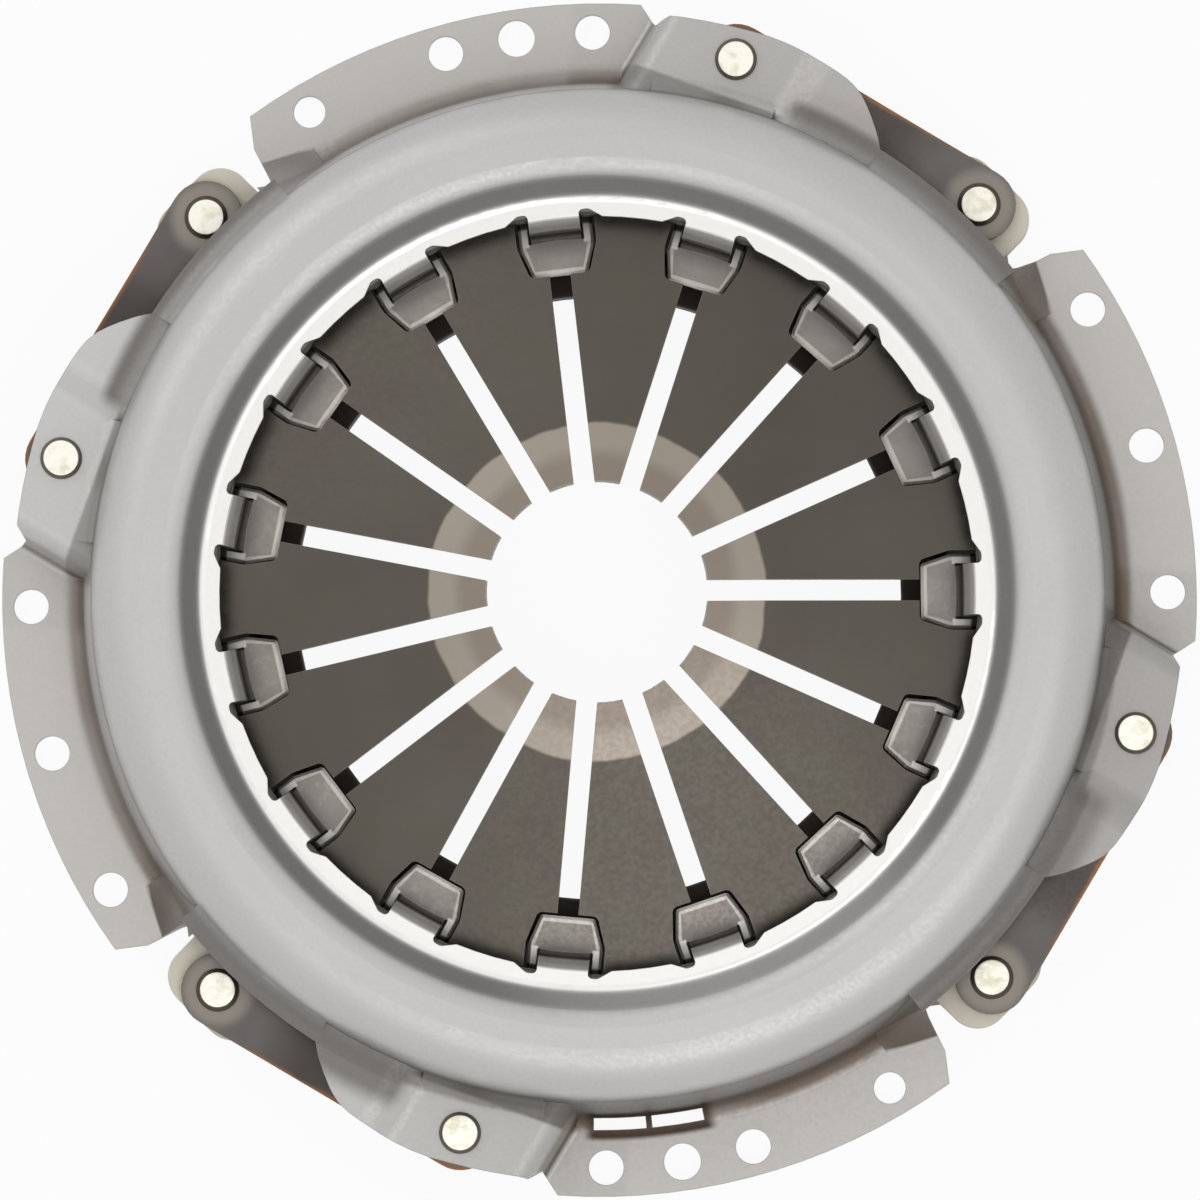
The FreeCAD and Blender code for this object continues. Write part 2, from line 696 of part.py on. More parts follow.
def strap_leaf_solid(level):
    """One leaf of a strap pack, counted down from the pad; it bends down to the lug."""
    pad_z = pad_under_z - level * strap_pitch
    lug_z = pad_z - strap_drop
    half = strap_width / 2
    points = [
        (-half - 2, pad_z),
        (strap_flat, pad_z),
        (strap_span - strap_flat, lug_z),
        (strap_span + half + 2, lug_z),
    ]
    bends = [strap_bend, strap_bend]
    side = bent_sheet(points[::-1], bends, strap_leaf, lambda u, z: in_pocket(u, -half - 1, z))
    leaf = side.extrude(across * (strap_width + 2))
    low_pad, low_lug = in_pocket(0, -half, 0), in_pocket(strap_span, -half, 0)
    high_pad, high_lug = in_pocket(0, half, 0), in_pocket(strap_span, half, 0)
    outline = Part.Wire([
        Part.LineSegment(low_pad, low_lug).toShape(),
        Part.Arc(low_lug, in_pocket(strap_span + half, 0, 0), high_lug).toShape(),
        Part.LineSegment(high_lug, high_pad).toShape(),
        Part.Arc(high_pad, in_pocket(-half, 0, 0), low_pad).toShape(),
    ])
    leaf = leaf.common(Part.Face(outline).extrude(V(0, 0, dome_top_z)))
    hole_r = rivet_shank_r + rivet_fit
    return leaf.cut([Part.makeCylinder(hole_r, dome_top_z, place) for place in (pad_rivet, lug_rivet)])


def rivet(place, low_z, high_z):
    """Rivet with a formed head on top and a flat tail below; the heights are its grip."""
    points = [
        (0, low_z - rivet_tail),
        (rivet_tail_r - rivet_edge, low_z - rivet_tail),
        (rivet_tail_r, low_z - rivet_tail + rivet_edge),
        (rivet_tail_r, low_z),
        (rivet_shank_r, low_z),
        (rivet_shank_r, high_z),
        (rivet_head_r, high_z),
        (rivet_head_r, high_z + rivet_edge),
        (rivet_head_top_r, high_z + rivet_head),
        (0, high_z + rivet_head),
    ]
    corners = [in_section(r, z) for r, z in points]
    solid = revolved(Part.Face(Part.makePolygon(corners + corners[:1])))
    solid.translate(place)
    return solid


def make_parts():
    nodes = {
        "cover": make_cover(),
        "diaphragm_spring": make_diaphragm(),
        "upper_pivot_ring": pivot_ring(upper_ring_z),
        "lower_pivot_ring": pivot_ring(lower_ring_z),
        "pressure_plate": make_pressure_plate(),
    }
    leaves = [strap_leaf_solid(level) for level in range(strap_leaves)]
    pack_low = pad_under_z - (strap_leaves - 1) * strap_pitch - strap_leaf
    pad_fixing = rivet(pad_rivet, pack_low, pad_top_z)
    counterbore_top = friction_face_z + lug_underside + counterbore_depth
    lug_fixing = rivet(lug_rivet, counterbore_top, pad_under_z - strap_drop)
    for k in range(pocket_count):
        degrees = 360.0 * k / pocket_count
        for name, leaf in zip(("top", "middle", "bottom"), leaves):
            nodes["strap_%d_%s_leaf" % (k + 1, name)] = turned(leaf, degrees)
        nodes["pad_rivet_%d" % (k + 1)] = turned(pad_fixing, degrees)
        nodes["lug_rivet_%d" % (k + 1)] = turned(lug_fixing, degrees)
    return nodes


os.makedirs("parts", exist_ok=True)
for node, shape in make_parts().items():
    shape.exportStep("parts/%s.step" % node)
    box = shape.BoundBox
    print("%-22s solids %d valid %s volume %9.1f z %6.2f to %6.2f" % (
        node, len(shape.Solids), shape.isValid(), shape.Volume, box.ZMin, box.ZMax
    ))
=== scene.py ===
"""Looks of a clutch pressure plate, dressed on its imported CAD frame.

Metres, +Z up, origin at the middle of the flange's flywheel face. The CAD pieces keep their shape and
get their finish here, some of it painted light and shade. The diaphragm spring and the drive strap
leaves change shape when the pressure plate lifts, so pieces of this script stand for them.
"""
import bmesh
import bpy
import math
from mathutils import Matrix, Vector


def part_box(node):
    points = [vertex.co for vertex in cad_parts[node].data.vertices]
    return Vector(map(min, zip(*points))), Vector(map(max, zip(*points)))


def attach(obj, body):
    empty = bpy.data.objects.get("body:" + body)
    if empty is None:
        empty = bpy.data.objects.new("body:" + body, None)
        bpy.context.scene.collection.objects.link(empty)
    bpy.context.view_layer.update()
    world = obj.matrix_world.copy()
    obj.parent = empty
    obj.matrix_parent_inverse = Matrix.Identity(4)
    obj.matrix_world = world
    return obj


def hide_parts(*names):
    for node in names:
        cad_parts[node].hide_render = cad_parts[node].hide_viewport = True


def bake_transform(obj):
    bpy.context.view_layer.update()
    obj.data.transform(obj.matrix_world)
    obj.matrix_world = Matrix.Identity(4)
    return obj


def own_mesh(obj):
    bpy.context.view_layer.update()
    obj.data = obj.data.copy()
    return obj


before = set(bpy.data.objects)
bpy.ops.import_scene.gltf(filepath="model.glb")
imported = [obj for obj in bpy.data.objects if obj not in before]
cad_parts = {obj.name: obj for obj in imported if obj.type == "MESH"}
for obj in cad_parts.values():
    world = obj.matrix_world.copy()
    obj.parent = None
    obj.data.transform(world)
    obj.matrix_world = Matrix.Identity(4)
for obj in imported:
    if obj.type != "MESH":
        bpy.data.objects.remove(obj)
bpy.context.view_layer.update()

MM = 0.001
COVER = "cover"
PLATE = "pressure_plate"
POCKETS = 4
FINGERS = 15

# Read off the frame
low_ring, high_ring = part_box("lower_pivot_ring"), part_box("upper_pivot_ring")
rim_top_z = high_ring[1].z + 3.7 * MM       # a sheet and its play above the ring
dome_top_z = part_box("cover")[1].z

weld_gap = 0.001 * MM         # vertices nearer than this are merged
flat_angle = math.radians(1)  # faces this close to one plane are joined

# Straps
leaf_thickness = 0.8 * MM
leaf_half_width = 9.5 * MM
leaf_flat = 13.0 * MM         # flat length past each rivet
leaf_steps = 40
end_steps = 16                # of the half circle at each end

# Bevels on the edges of both
spring_edge = 0.18 * MM
leaf_edge = 0.12 * MM
sharp_angle = math.radians(30)

# Directions of the cover's features, as angles from +X
first_finger_deg = 0.7        # a finger slot and its tab
segment_end_deg = 35.5        # flared end of a flange segment
pad_front_deg = 70.0          # middle of the straight inner edge of a strap pad
pad_middle_deg = 78.0
pad_back_deg = 86.0           # slope from a pad down to the next flange segment
vents_deg = 275.5
# and of the light on it in the photograph
bright_deg = 130.0
bright_pad_deg = 172.0
bright_ledge_deg = 75.0
front_deg = 290.0             # where the groove is paler and the tabs are darker

# Radii of the tabs and the rim, and half the width of a tab's leg
head_end_r = 85.0 * MM        # inner end of the head
head_r = 92.0 * MM            # where the head ends and the fold begins
leg_r = 94.4 * MM
leg_end_r = 97.0 * MM
ear_end_r = 96.3 * MM
rim_inner_r = 97.2 * MM
rim_outer_r = 102.4 * MM
leg_half_width = 7.0 * MM

# Foot of the cover's wall
wall_top_r = 128.4 * MM
wall_foot_r = 134.2 * MM
foot_r = 130.5 * MM           # where the dark band of the foot begins

# Colours, linear, where a pair is mixed by a cloud, a scratch or a height
SHEET = (0.535, 0.52, 0.505), (0.60, 0.587, 0.572)
SHEET_GRAIN = (0.45, 0.43, 0.41)
FLANGE = (0.51, 0.48, 0.445)
# painted shade in the groove inside the dome
GROOVE_SHADE = (0.165, 0.158, 0.153)
# painted shade on the wall below the dome
WALL_SHADE = (0.12, 0.11, 0.10)
PAD_SHADE = (0.24, 0.22, 0.20)
LEDGE_SHADE = (0.15, 0.137, 0.125)
# painted shade along the inner edge of the pads, on the slopes from pad to flange and in the valleys at
# their foot
PAD_INNER_SHADE = (0.14, 0.13, 0.118)
SLOPE_SHADE = (0.30, 0.28, 0.235)
VALLEY_SHADE = (0.12, 0.105, 0.075)
# brown film at the foot of the wall, with painted shade in it
BROWN_FILM_AND_SHADE = (0.125, 0.09, 0.065)
# painted shade round the vent slots
VENT_SHADE = (0.055, 0.035, 0.022)
# pale coined rim, made near white with a painted highlight
COINED_RIM_HIGHLIGHT = (0.93, 0.91, 0.88)
TAB = (0.355, 0.325, 0.295), (0.50, 0.465, 0.43)
# painted shade on the tabs toward the front
TAB_FRONT_SHADE = (0.24, 0.21, 0.19)
# painted highlight round the outline of a tab's head
TAB_OUTLINE_HIGHLIGHT = (0.68, 0.635, 0.58)
# painted shade in the fold of a tab
TAB_FOLD_SHADE = (0.045, 0.04, 0.033)
# painted highlight on the ears and chamfers of a tab
TAB_EAR_AND_CHAMFER_HIGHLIGHT = (0.95, 0.91, 0.85)
TAB_SHADOW = (0.07, 0.06, 0.05)
# painted shade on the leg of a tab
TAB_LEG_SHADE = (0.27, 0.25, 0.228)
# sharp edges: pale wear high up, painted shade on the lower edges
EDGE_WEAR_AND_SHADE = (0.33, 0.31, 0.28), (0.80, 0.76, 0.68)
SPRING = (0.080, 0.066, 0.054), (0.112, 0.097, 0.084)
SPRING_STAIN = (0.092, 0.091, 0.068)
SPRING_TIP = (0.245, 0.207, 0.168), (0.318, 0.28, 0.233)
SPRING_EDGE = (0.42, 0.38, 0.33)
WIRE = (0.085, 0.078, 0.068), (0.15, 0.14, 0.125)
IRON = (0.235, 0.215, 0.195), (0.345, 0.325, 0.300)
IRON_PIT = (0.13, 0.115, 0.10)
IRON_LUG = (0.66, 0.62, 0.52)
# painted shade in the bore of the plate
IRON_BORE_SHADE = (0.04, 0.028, 0.022)
IRON_TURNED = (0.46, 0.45, 0.44), (0.58, 0.57, 0.56)
ZINC = (0.78, 0.74, 0.59), (0.97, 0.95, 0.84)
# painted shade on the sides of the rivet heads
ZINC_SIDE_SHADE = (0.17, 0.145, 0.115)
STRAP = (0.085, 0.080, 0.080), (0.17, 0.155, 0.145)
STRAP_PALE = (0.40, 0.36, 0.30)
# painted shadow of the ledge across the strap leaves
STRAP_LEDGE_SHADOW = (0.056, 0.047, 0.042)
STRAP_FILM = (0.25, 0.115, 0.045)
# painted shade round the lug rivets
STRAP_RIVET_SHADE = (0.05, 0.04, 0.03)
FLOOR = (0.90, 0.90, 0.90)
WHITE = (1.0, 1.0, 1.0)
SKY_SHADE = (0.97, 0.98, 1.0)

# Photograph: pixels across, and metres to a pixel at the flange
frame_pixels = 1200
pixel = 0.2588 * MM
camera_distance = 6.0
sensor_width_mm = 36.0
tilt_to_front = math.radians(2.76)
tilt_to_right = math.radians(0.86)
photo_shift = 0.5 * pixel     # of the object's middle in the photograph

# Studio: place, aim, width in metres and watts of each softbox
KEY_SOFTBOX = (-1.2, 1.3, 1.6), (0, 0, 0), 1.7, 7.5
FILL_SOFTBOX = (0.35, -0.97, 2.0), (0, 0, 0.02), 1.5, 9.2
sky_strength = 0.52
floor_half_width = 30.0
floor_gap = 0.1 * MM
floor_whiteness = 0.93


# Node helpers
def add(tree, kind, inputs=None, **settings):
    """A shader node with its settings, and with values or links on its inputs."""
    made = tree.nodes.new("ShaderNode" + kind)
    for name, value in settings.items():
        setattr(made, name, value)
    for name, value in (inputs or {}).items():
        socket = made.inputs[name]
        if isinstance(value, bpy.types.NodeSocket):
            tree.links.new(value, socket)
        else:
            socket.default_value = value
    return made


def calc(tree, operation, first, second=0.0, clamp=False):
    """Two values put together by a Math node."""
    made = add(tree, "Math", {0: first, 1: second}, operation=operation, use_clamp=clamp)
    return made.outputs[0]


def ramp(tree, value, low, high, start=0.0, end=1.0):
    """Smooth step of a value from low to high."""
    inputs = {"Value": value, "From Min": low, "From Max": high, "To Min": start, "To Max": end}
    return add(tree, "MapRange", inputs, interpolation_type="SMOOTHSTEP").outputs[0]


def product(tree, *masks):
    """Masks and shares multiplied together."""
    result = masks[0]
    for mask in masks[1:]:
        result = calc(tree, "MULTIPLY", result, mask)
    return result


def between(tree, value, low, high, soft):
    """1 between two values, with soft edges."""
    rise = ramp(tree, value, low - soft, low + soft)
    fall = ramp(tree, value, high - soft, high + soft, 1.0, 0.0)
    return product(tree, rise, fall)


def tint(tree, factor, first, second):
    """Colour mixed from first to second."""
    made = tree.nodes.new("ShaderNodeMix")
    made.data_type = "RGBA"
    for index, value in ((0, factor), (6, first), (7, second)):
        if isinstance(value, bpy.types.NodeSocket):
            tree.links.new(value, made.inputs[index])
        elif index == 0:
            made.inputs[index].default_value = value
        else:
            made.inputs[index].default_value = (*value, 1.0)
    return made.outputs[2]


def noise(tree, where, scale, detail=3.0, roughness=0.5):
    """Clouds or grain: more of them to the metre with a larger scale."""
    inputs = {"Vector": where, "Scale": scale, "Detail": detail, "Roughness": roughness}
    return add(tree, "TexNoise", inputs).outputs[0]


class Place:
    """Where a point of the object lies, as sockets: coordinates and radius."""

    def __init__(self, tree):
        self.tree = tree
        self.point = add(tree, "TexCoord").outputs["Object"]
        split = add(tree, "SeparateXYZ", {0: self.point})
        self.x, self.y, self.z = split.outputs
        flat = add(tree, "CombineXYZ", {"X": self.x, "Y": self.y}).outputs[0]
        self.radius = add(tree, "VectorMath", {0: flat}, operation="LENGTH").outputs["Value"]

    def toward(self, degrees):
        """1 where the point lies in that direction from the axis, -1 opposite."""
        angle = math.radians(degrees)
        first = calc(self.tree, "MULTIPLY", self.x, math.cos(angle))
        second = calc(self.tree, "MULTIPLY", self.y, math.sin(angle))
        far = calc(self.tree, "MAXIMUM", self.radius, 0.001)
        return calc(self.tree, "DIVIDE", calc(self.tree, "ADD", first, second), far)

    def off_ray(self, count, start_deg):
        """Angle from the nearest of some evenly spaced rays, the first at an angle."""
        half = math.pi / count
        angle = calc(self.tree, "ARCTAN2", self.y, self.x)
        angle = calc(self.tree, "SUBTRACT", angle, math.radians(start_deg))
        return add(self.tree, "Math", {0: angle, 1: half, 2: -half}, operation="WRAP").outputs[0]

    def beside(self, count, start_deg):
        """Distance sideways from the nearest of those rays."""
        near = self.off_ray(count, start_deg)
        return calc(self.tree, "MULTIPLY", calc(self.tree, "ABSOLUTE", near), self.radius)

    def along(self, count, start_deg):
        """Distance from the axis along the nearest of those rays."""
        near = self.off_ray(count, start_deg)
        return calc(self.tree, "MULTIPLY", calc(self.tree, "COSINE", near), self.radius)


def metal(name, metallic, roughness):
    """A new metal material: its tree, its shader and the place sockets."""
    material = bpy.data.materials.new(name)
    material.use_nodes = True
    tree = material.node_tree
    shader = tree.nodes["Principled BSDF"]
    shader.inputs["Metallic"].default_value = metallic
    shader.inputs["Roughness"].default_value = roughness
    return material, tree, shader, Place(tree)


def relief(tree, shader, height, strength, distance, edge_radius=0.3 * MM):
    """Bump over an edge that is rounded for the eye."""
    rounded = add(tree, "Bevel", {"Radius": edge_radius}, samples=4).outputs[0]
    inputs = {"Height": height, "Strength": strength, "Distance": distance, "Normal": rounded}
    bump = add(tree, "Bump", inputs)
    tree.links.new(bump.outputs[0], shader.inputs["Normal"])


def steepness(tree):
    """0 on level surfaces, growing to 1 on upright ones."""
    normal = add(tree, "SeparateXYZ", {0: add(tree, "NewGeometry").outputs["True Normal"]}).outputs[2]
    return calc(tree, "SUBTRACT", 1.0, normal)


def worn_edge(tree, width):
    """1 where the surface turns sharply, as on a cut or rubbed edge."""
    rounded = add(tree, "Bevel", {"Radius": width}, samples=4).outputs[0]
    true = add(tree, "NewGeometry").outputs["Normal"]
    same = add(tree, "VectorMath", {0: rounded, 1: true}, operation="DOT_PRODUCT").outputs["Value"]
    return ramp(tree, same, 0.995, 0.80)


# Materials
def paint_groove_shade(tree, at, colour):
    """Painted shade in the groove inside the dome, lighter toward the front."""
    band = between(tree, at.radius, 102.6 * MM, 107.6 * MM, 1.4 * MM)
    raised = ramp(tree, at.z, rim_top_z - 0.3 * MM, rim_top_z + 1.0 * MM)
    depth = calc(tree, "ADD", ramp(tree, at.toward(front_deg), 0.78, 1.0, 0.82, 0.40),
                 ramp(tree, at.toward(180.0), 0.5, 1.0, 0.0, 0.05))
    return tint(tree, product(tree, band, raised, depth), colour, GROOVE_SHADE)


def paint_wall_shade(tree, at, bright, colour):
    """Painted shade on the wall from the dome down, heavier away from the bright side."""
    wall = product(tree, ramp(tree, at.radius, wall_top_r, wall_top_r + 3.0 * MM),
                   ramp(tree, at.radius, wall_foot_r + 1.8 * MM, wall_foot_r),
                   ramp(tree, at.z, dome_top_z - 4.0 * MM, dome_top_z - 14.0 * MM),
                   ramp(tree, bright, -0.7, 0.8, 0.70, 0.04))
    return tint(tree, wall, colour, WALL_SHADE)


def paint_pad_shade(tree, at, bright, colour):
    """Strap pads and ledges, with the shade of the photograph round them."""
    pad = product(tree, ramp(tree, at.toward(bright_pad_deg), -0.8, 0.9, 0.5, 0.0),
                  ramp(tree, at.z, 18.0 * MM, 22.0 * MM),
                  ramp(tree, at.radius, 132.0 * MM, 135.0 * MM))
    colour = tint(tree, pad, colour, PAD_SHADE)

    near = product(tree, between(tree, at.radius, 129.0 * MM, 137.8 * MM, 2.0 * MM),
                   ramp(tree, at.radius, foot_r, 135.8 * MM, 0.52, 0.93))
    far = product(tree, between(tree, at.radius, 131.0 * MM, 142.0 * MM, 3.0 * MM),
                  ramp(tree, at.toward(bright_ledge_deg), -1.0, 1.0, 0.95, 0.3),
                  ramp(tree, bright, 0.0, 1.0, 0.9, 0.05))
    level = between(tree, at.z, 25.4 * MM, 29.0 * MM, 1.2 * MM)
    ledge = product(tree, calc(tree, "MAXIMUM", near, far), level)
    colour = tint(tree, ledge, colour, LEDGE_SHADE)

    # Painted shade along the straight inner edge of a pad.
    inner = product(tree, ramp(tree, at.along(POCKETS, pad_front_deg), 133.0 * MM, 131.8 * MM),
                    between(tree, at.z, 4.6 * MM, 25.2 * MM, 0.8 * MM),
                    ramp(tree, at.radius, 128.6 * MM, 129.8 * MM),
                    ramp(tree, at.beside(POCKETS, pad_middle_deg), 26.0 * MM, 23.0 * MM),
                    ramp(tree, bright, -0.7, 0.8, 0.9, 0.6))
    colour = tint(tree, inner, colour, PAD_INNER_SHADE)

    # Painted shade on the slope from a pad down to the flange, darkest in the valley at its foot.
    slope = product(tree, ramp(tree, at.beside(POCKETS, pad_back_deg), 19.0 * MM, 16.0 * MM),
                    ramp(tree, at.radius, 132.5 * MM, 135.0 * MM),
                    ramp(tree, bright, -0.7, 0.8, 1.0, 0.5))
    upper = product(tree, slope, between(tree, at.z, 6.0 * MM, 18.5 * MM, 2.5 * MM), 0.85)
    colour = tint(tree, upper, colour, SLOPE_SHADE)
    valley = product(tree, slope, between(tree, at.z, 4.4 * MM, 9.0 * MM, 1.4 * MM), 0.85)
    return tint(tree, valley, colour, VALLEY_SHADE)


def paint_foot_film_and_shade(tree, at, bright, cloud, colour):
    """Brown film with painted shade at the foot of the wall and on the flared ends, and painted shade
    round the vent slots.
    """
    foot = product(tree, between(tree, at.radius, foot_r, 137.6 * MM, 1.5 * MM),
                   ramp(tree, at.z, 14.0 * MM, 5.0 * MM))
    flare = product(tree, ramp(tree, at.beside(POCKETS, segment_end_deg), 15.0 * MM, 10.0 * MM),
                    between(tree, at.z, 4.2 * MM, 26.0 * MM, 0.4 * MM),
                    ramp(tree, at.radius, foot_r, 134.0 * MM))
    # Brown film and painted shade, the shade heavier away from the bright side.
    film = product(tree, calc(tree, "MAXIMUM", foot, flare), ramp(tree, cloud, 0.25, 0.62, 0.6, 0.9),
                   ramp(tree, bright, 0.0, 0.9, 1.0, 0.65))
    colour = tint(tree, film, colour, BROWN_FILM_AND_SHADE)
    # Painted shade round the vent slots.
    vents = product(tree, ramp(tree, at.z, 12.0 * MM, 6.0 * MM),
                    ramp(tree, at.radius, 140.6 * MM, 139.0 * MM),
                    ramp(tree, at.toward(vents_deg), 0.9915, 0.9945))
    return tint(tree, vents, colour, VENT_SHADE)


def on_leg(tree, beside):
    """1 on the leg of a tab, at a distance beside its middle."""
    return ramp(tree, beside, leg_half_width, leg_half_width - 0.4 * MM)


def tab_finish_and_painted_light(tree, at):
    """Colour of the tabs: scratched heads with a painted highlight round the outline, on the chamfer and
    on the ears, and painted shade toward the front, in the fold and beyond the ears.
    """
    scratch = ramp(tree, noise(tree, at.point, 320.0, detail=6.0, roughness=0.75), 0.50, 0.60)
    scratch = product(tree, scratch, ramp(tree, at.toward(270.0), -0.6, 0.6, 0.12, 0.42))
    colour = tint(tree, scratch, *TAB)
    # Painted shade on the tabs toward the front.
    colour = tint(tree, ramp(tree, at.toward(front_deg), 0.5, 1.0, 0.0, 0.5), colour, TAB_FRONT_SHADE)

    beside = at.beside(FINGERS, first_finger_deg)
    reach = at.along(FINGERS, first_finger_deg)
    # Painted highlight round the outline of a tab's head.
    widening = calc(tree, "MULTIPLY", calc(tree, "SUBTRACT", reach, head_end_r - 1.0 * MM), 0.28)
    side = ramp(tree, calc(tree, "SUBTRACT", beside, widening), 5.8 * MM, 6.2 * MM)
    outline_highlight = calc(tree, "MAXIMUM", side, ramp(tree, reach, head_end_r, head_end_r - 0.4 * MM))
    outline_highlight = product(tree, outline_highlight, ramp(tree, at.radius, head_r, head_r - 0.6 * MM))
    colour = tint(tree, outline_highlight, colour, TAB_OUTLINE_HIGHLIGHT)

    # Painted shade in the fold of a tab.
    fold_shade = product(tree, between(tree, at.radius, head_r + 0.3 * MM, leg_r + 0.1 * MM, 0.25 * MM),
                   on_leg(tree, beside), 0.92)
    colour = tint(tree, fold_shade, colour, TAB_FOLD_SHADE)
    # Painted highlight on the ears and on the chamfer of the head.
    ears = product(tree, between(tree, at.radius, head_r - 0.4 * MM, ear_end_r, 0.3 * MM),
                   ramp(tree, beside, leg_half_width - 0.1 * MM, leg_half_width + 0.2 * MM))
    chamfer = product(tree, between(tree, steepness(tree), 0.08, 0.7, 0.03),
                      ramp(tree, at.radius, head_r - 0.2 * MM, head_r - 0.7 * MM))
    colour = tint(tree, calc(tree, "MAXIMUM", ears, chamfer), colour, TAB_EAR_AND_CHAMFER_HIGHLIGHT)
    shadow = product(tree, ramp(tree, at.radius, ear_end_r - 0.1 * MM, ear_end_r + 0.7 * MM),
                     ramp(tree, beside, leg_half_width, leg_half_width + 0.3 * MM))
    return tint(tree, shadow, colour, TAB_SHADOW)


def cover_steel():
    """Pressed and phosphated steel: satin grey, with painted shade in the groove, on the wall, round the
    pads and on the tabs, a coined rim with a painted highlight, and a brown film with painted shade at
    the foot."""
    material, tree, shader, at = metal("cover_steel_with_painted_light", 0.55, 0.44)
    cloud = noise(tree, at.point, 22.0)
    grain = noise(tree, at.point, 900.0, detail=2.0)
    bright = at.toward(bright_deg)
    colour = tint(tree, cloud, *SHEET)
    colour = tint(tree, product(tree, grain, 0.2), colour, SHEET_GRAIN)
    colour = paint_groove_shade(tree, at, colour)
    colour = tint(tree, product(tree, ramp(tree, at.z, 6.0 * MM, 4.0 * MM), 0.5), colour, FLANGE)
    colour = paint_wall_shade(tree, at, bright, colour)
    colour = paint_pad_shade(tree, at, bright, colour)
    colour = paint_foot_film_and_shade(tree, at, bright, cloud, colour)

    # Coined rim, smoother and made near white with a painted highlight.
    rim = product(tree, between(tree, at.radius, rim_inner_r, rim_outer_r, 0.4 * MM),
                  ramp(tree, at.z, rim_top_z - 1.4 * MM, rim_top_z - 0.4 * MM))
    colour = tint(tree, rim, colour, COINED_RIM_HIGHLIGHT)
    tabs = product(tree, ramp(tree, at.z, rim_top_z - 1.2 * MM, rim_top_z - 3.0 * MM),
                   ramp(tree, at.radius, 104.0 * MM, 101.0 * MM))
    colour = tint(tree, tabs, colour, tab_finish_and_painted_light(tree, at))
    # Painted shade on the leg of a tab.
    leg = product(tree, between(tree, at.radius, leg_r, leg_end_r, 0.3 * MM),
                  on_leg(tree, at.beside(FINGERS, first_finger_deg)), 0.9)
    colour = tint(tree, leg, colour, TAB_LEG_SHADE)
    # Sharp edges: pale wear high up, painted shade on the lower edges.
    edge_wear_and_shade = tint(tree, ramp(tree, at.z, 28.0 * MM, 33.0 * MM), *EDGE_WEAR_AND_SHADE)
    edge = product(tree, worn_edge(tree, 0.5 * MM), 0.6, ramp(tree, at.radius, head_r, leg_end_r))
    colour = tint(tree, edge, colour, edge_wear_and_shade)
    tree.links.new(colour, shader.inputs["Base Color"])
    rough = ramp(tree, grain, 0.3, 0.7, 0.40, 0.52)
    rough = calc(tree, "SUBTRACT", rough, product(tree, rim, 0.12))
    tree.links.new(rough, shader.inputs["Roughness"])
    relief(tree, shader, grain, 0.12, 0.05 * MM)
    return material


def spring_steel():
    """Dark tempered spring steel, with the tips hardened and heat-tinted paler."""
    material, tree, shader, at = metal("spring_steel_finish", 0.70, 0.36)
    cloud = noise(tree, at.point, 30.0)
    fine = noise(tree, at.point, 700.0, detail=2.0)
    colour = tint(tree, cloud, *SPRING)
    stain = ramp(tree, noise(tree, at.point, 55.0, detail=4.0, roughness=0.6), 0.40, 0.66)
    colour = tint(tree, product(tree, stain, 0.5), colour, SPRING_STAIN)
    wave = product(tree, calc(tree, "SUBTRACT", noise(tree, at.point, 60.0), 0.5), 2.4 * MM)
    border = calc(tree, "ADD", at.radius, wave)
    tip = ramp(tree, border, 43.9 * MM, 42.9 * MM)
    pale = tint(tree, ramp(tree, border, 33.5 * MM, 38.5 * MM), *SPRING_TIP)
    colour = tint(tree, tip, colour, pale)
    edge = product(tree, worn_edge(tree, 0.35 * MM), 0.35)
    colour = tint(tree, edge, colour, SPRING_EDGE)
    tree.links.new(colour, shader.inputs["Base Color"])
    tree.links.new(ramp(tree, fine, 0.3, 0.7, 0.32, 0.44), shader.inputs["Roughness"])
    relief(tree, shader, fine, 0.10, 0.04 * MM, 0.2 * MM)
    return material


def ring_wire():
    """Dull drawn wire of the pivot rings."""
    material, tree, shader, at = metal("ring_wire_finish", 0.85, 0.34)
    colour = tint(tree, noise(tree, at.point, 60.0), *WIRE)
    tree.links.new(colour, shader.inputs["Base Color"])
    relief(tree, shader, noise(tree, at.point, 500.0), 0.08, 0.04 * MM)
    return material


def cast_iron():
    """Grey iron: rough cast skin, turned on its friction face, with pale lugs and painted shade in the
    bore.
    """
    material, tree, shader, at = metal("cast_iron_finish", 0.45, 0.58)
    cloud = noise(tree, at.point, 40.0, detail=4.0)
    pits = noise(tree, at.point, 420.0, detail=5.0, roughness=0.65)
    colour = tint(tree, cloud, *IRON)
    colour = tint(tree, ramp(tree, pits, 0.52, 0.34, 0.0, 0.5), colour, IRON_PIT)
    colour = tint(tree, ramp(tree, at.radius, 127.0 * MM, 129.0 * MM), colour, IRON_LUG)
    # Painted shade in the bore.
    colour = tint(tree, ramp(tree, at.radius, 92.0 * MM, 90.0 * MM), colour, IRON_BORE_SHADE)
    face = ramp(tree, at.z, 4.6 * MM, 4.45 * MM)
    rings = {"wave_type": "RINGS", "rings_direction": "Z"}
    turned = add(tree, "TexWave", {"Vector": at.point, "Scale": 500.0}, **rings)
    colour = tint(tree, face, colour, tint(tree, turned.outputs["Fac"], *IRON_TURNED))
    tree.links.new(colour, shader.inputs["Base Color"])
    rough = calc(tree, "SUBTRACT", 0.60, product(tree, face, 0.28))
    tree.links.new(rough, shader.inputs["Roughness"])
    skin = product(tree, pits, ramp(tree, face, 0.0, 1.0, 1.0, 0.05))
    relief(tree, shader, skin, 0.45, 0.25 * MM, 0.5 * MM)
    return material


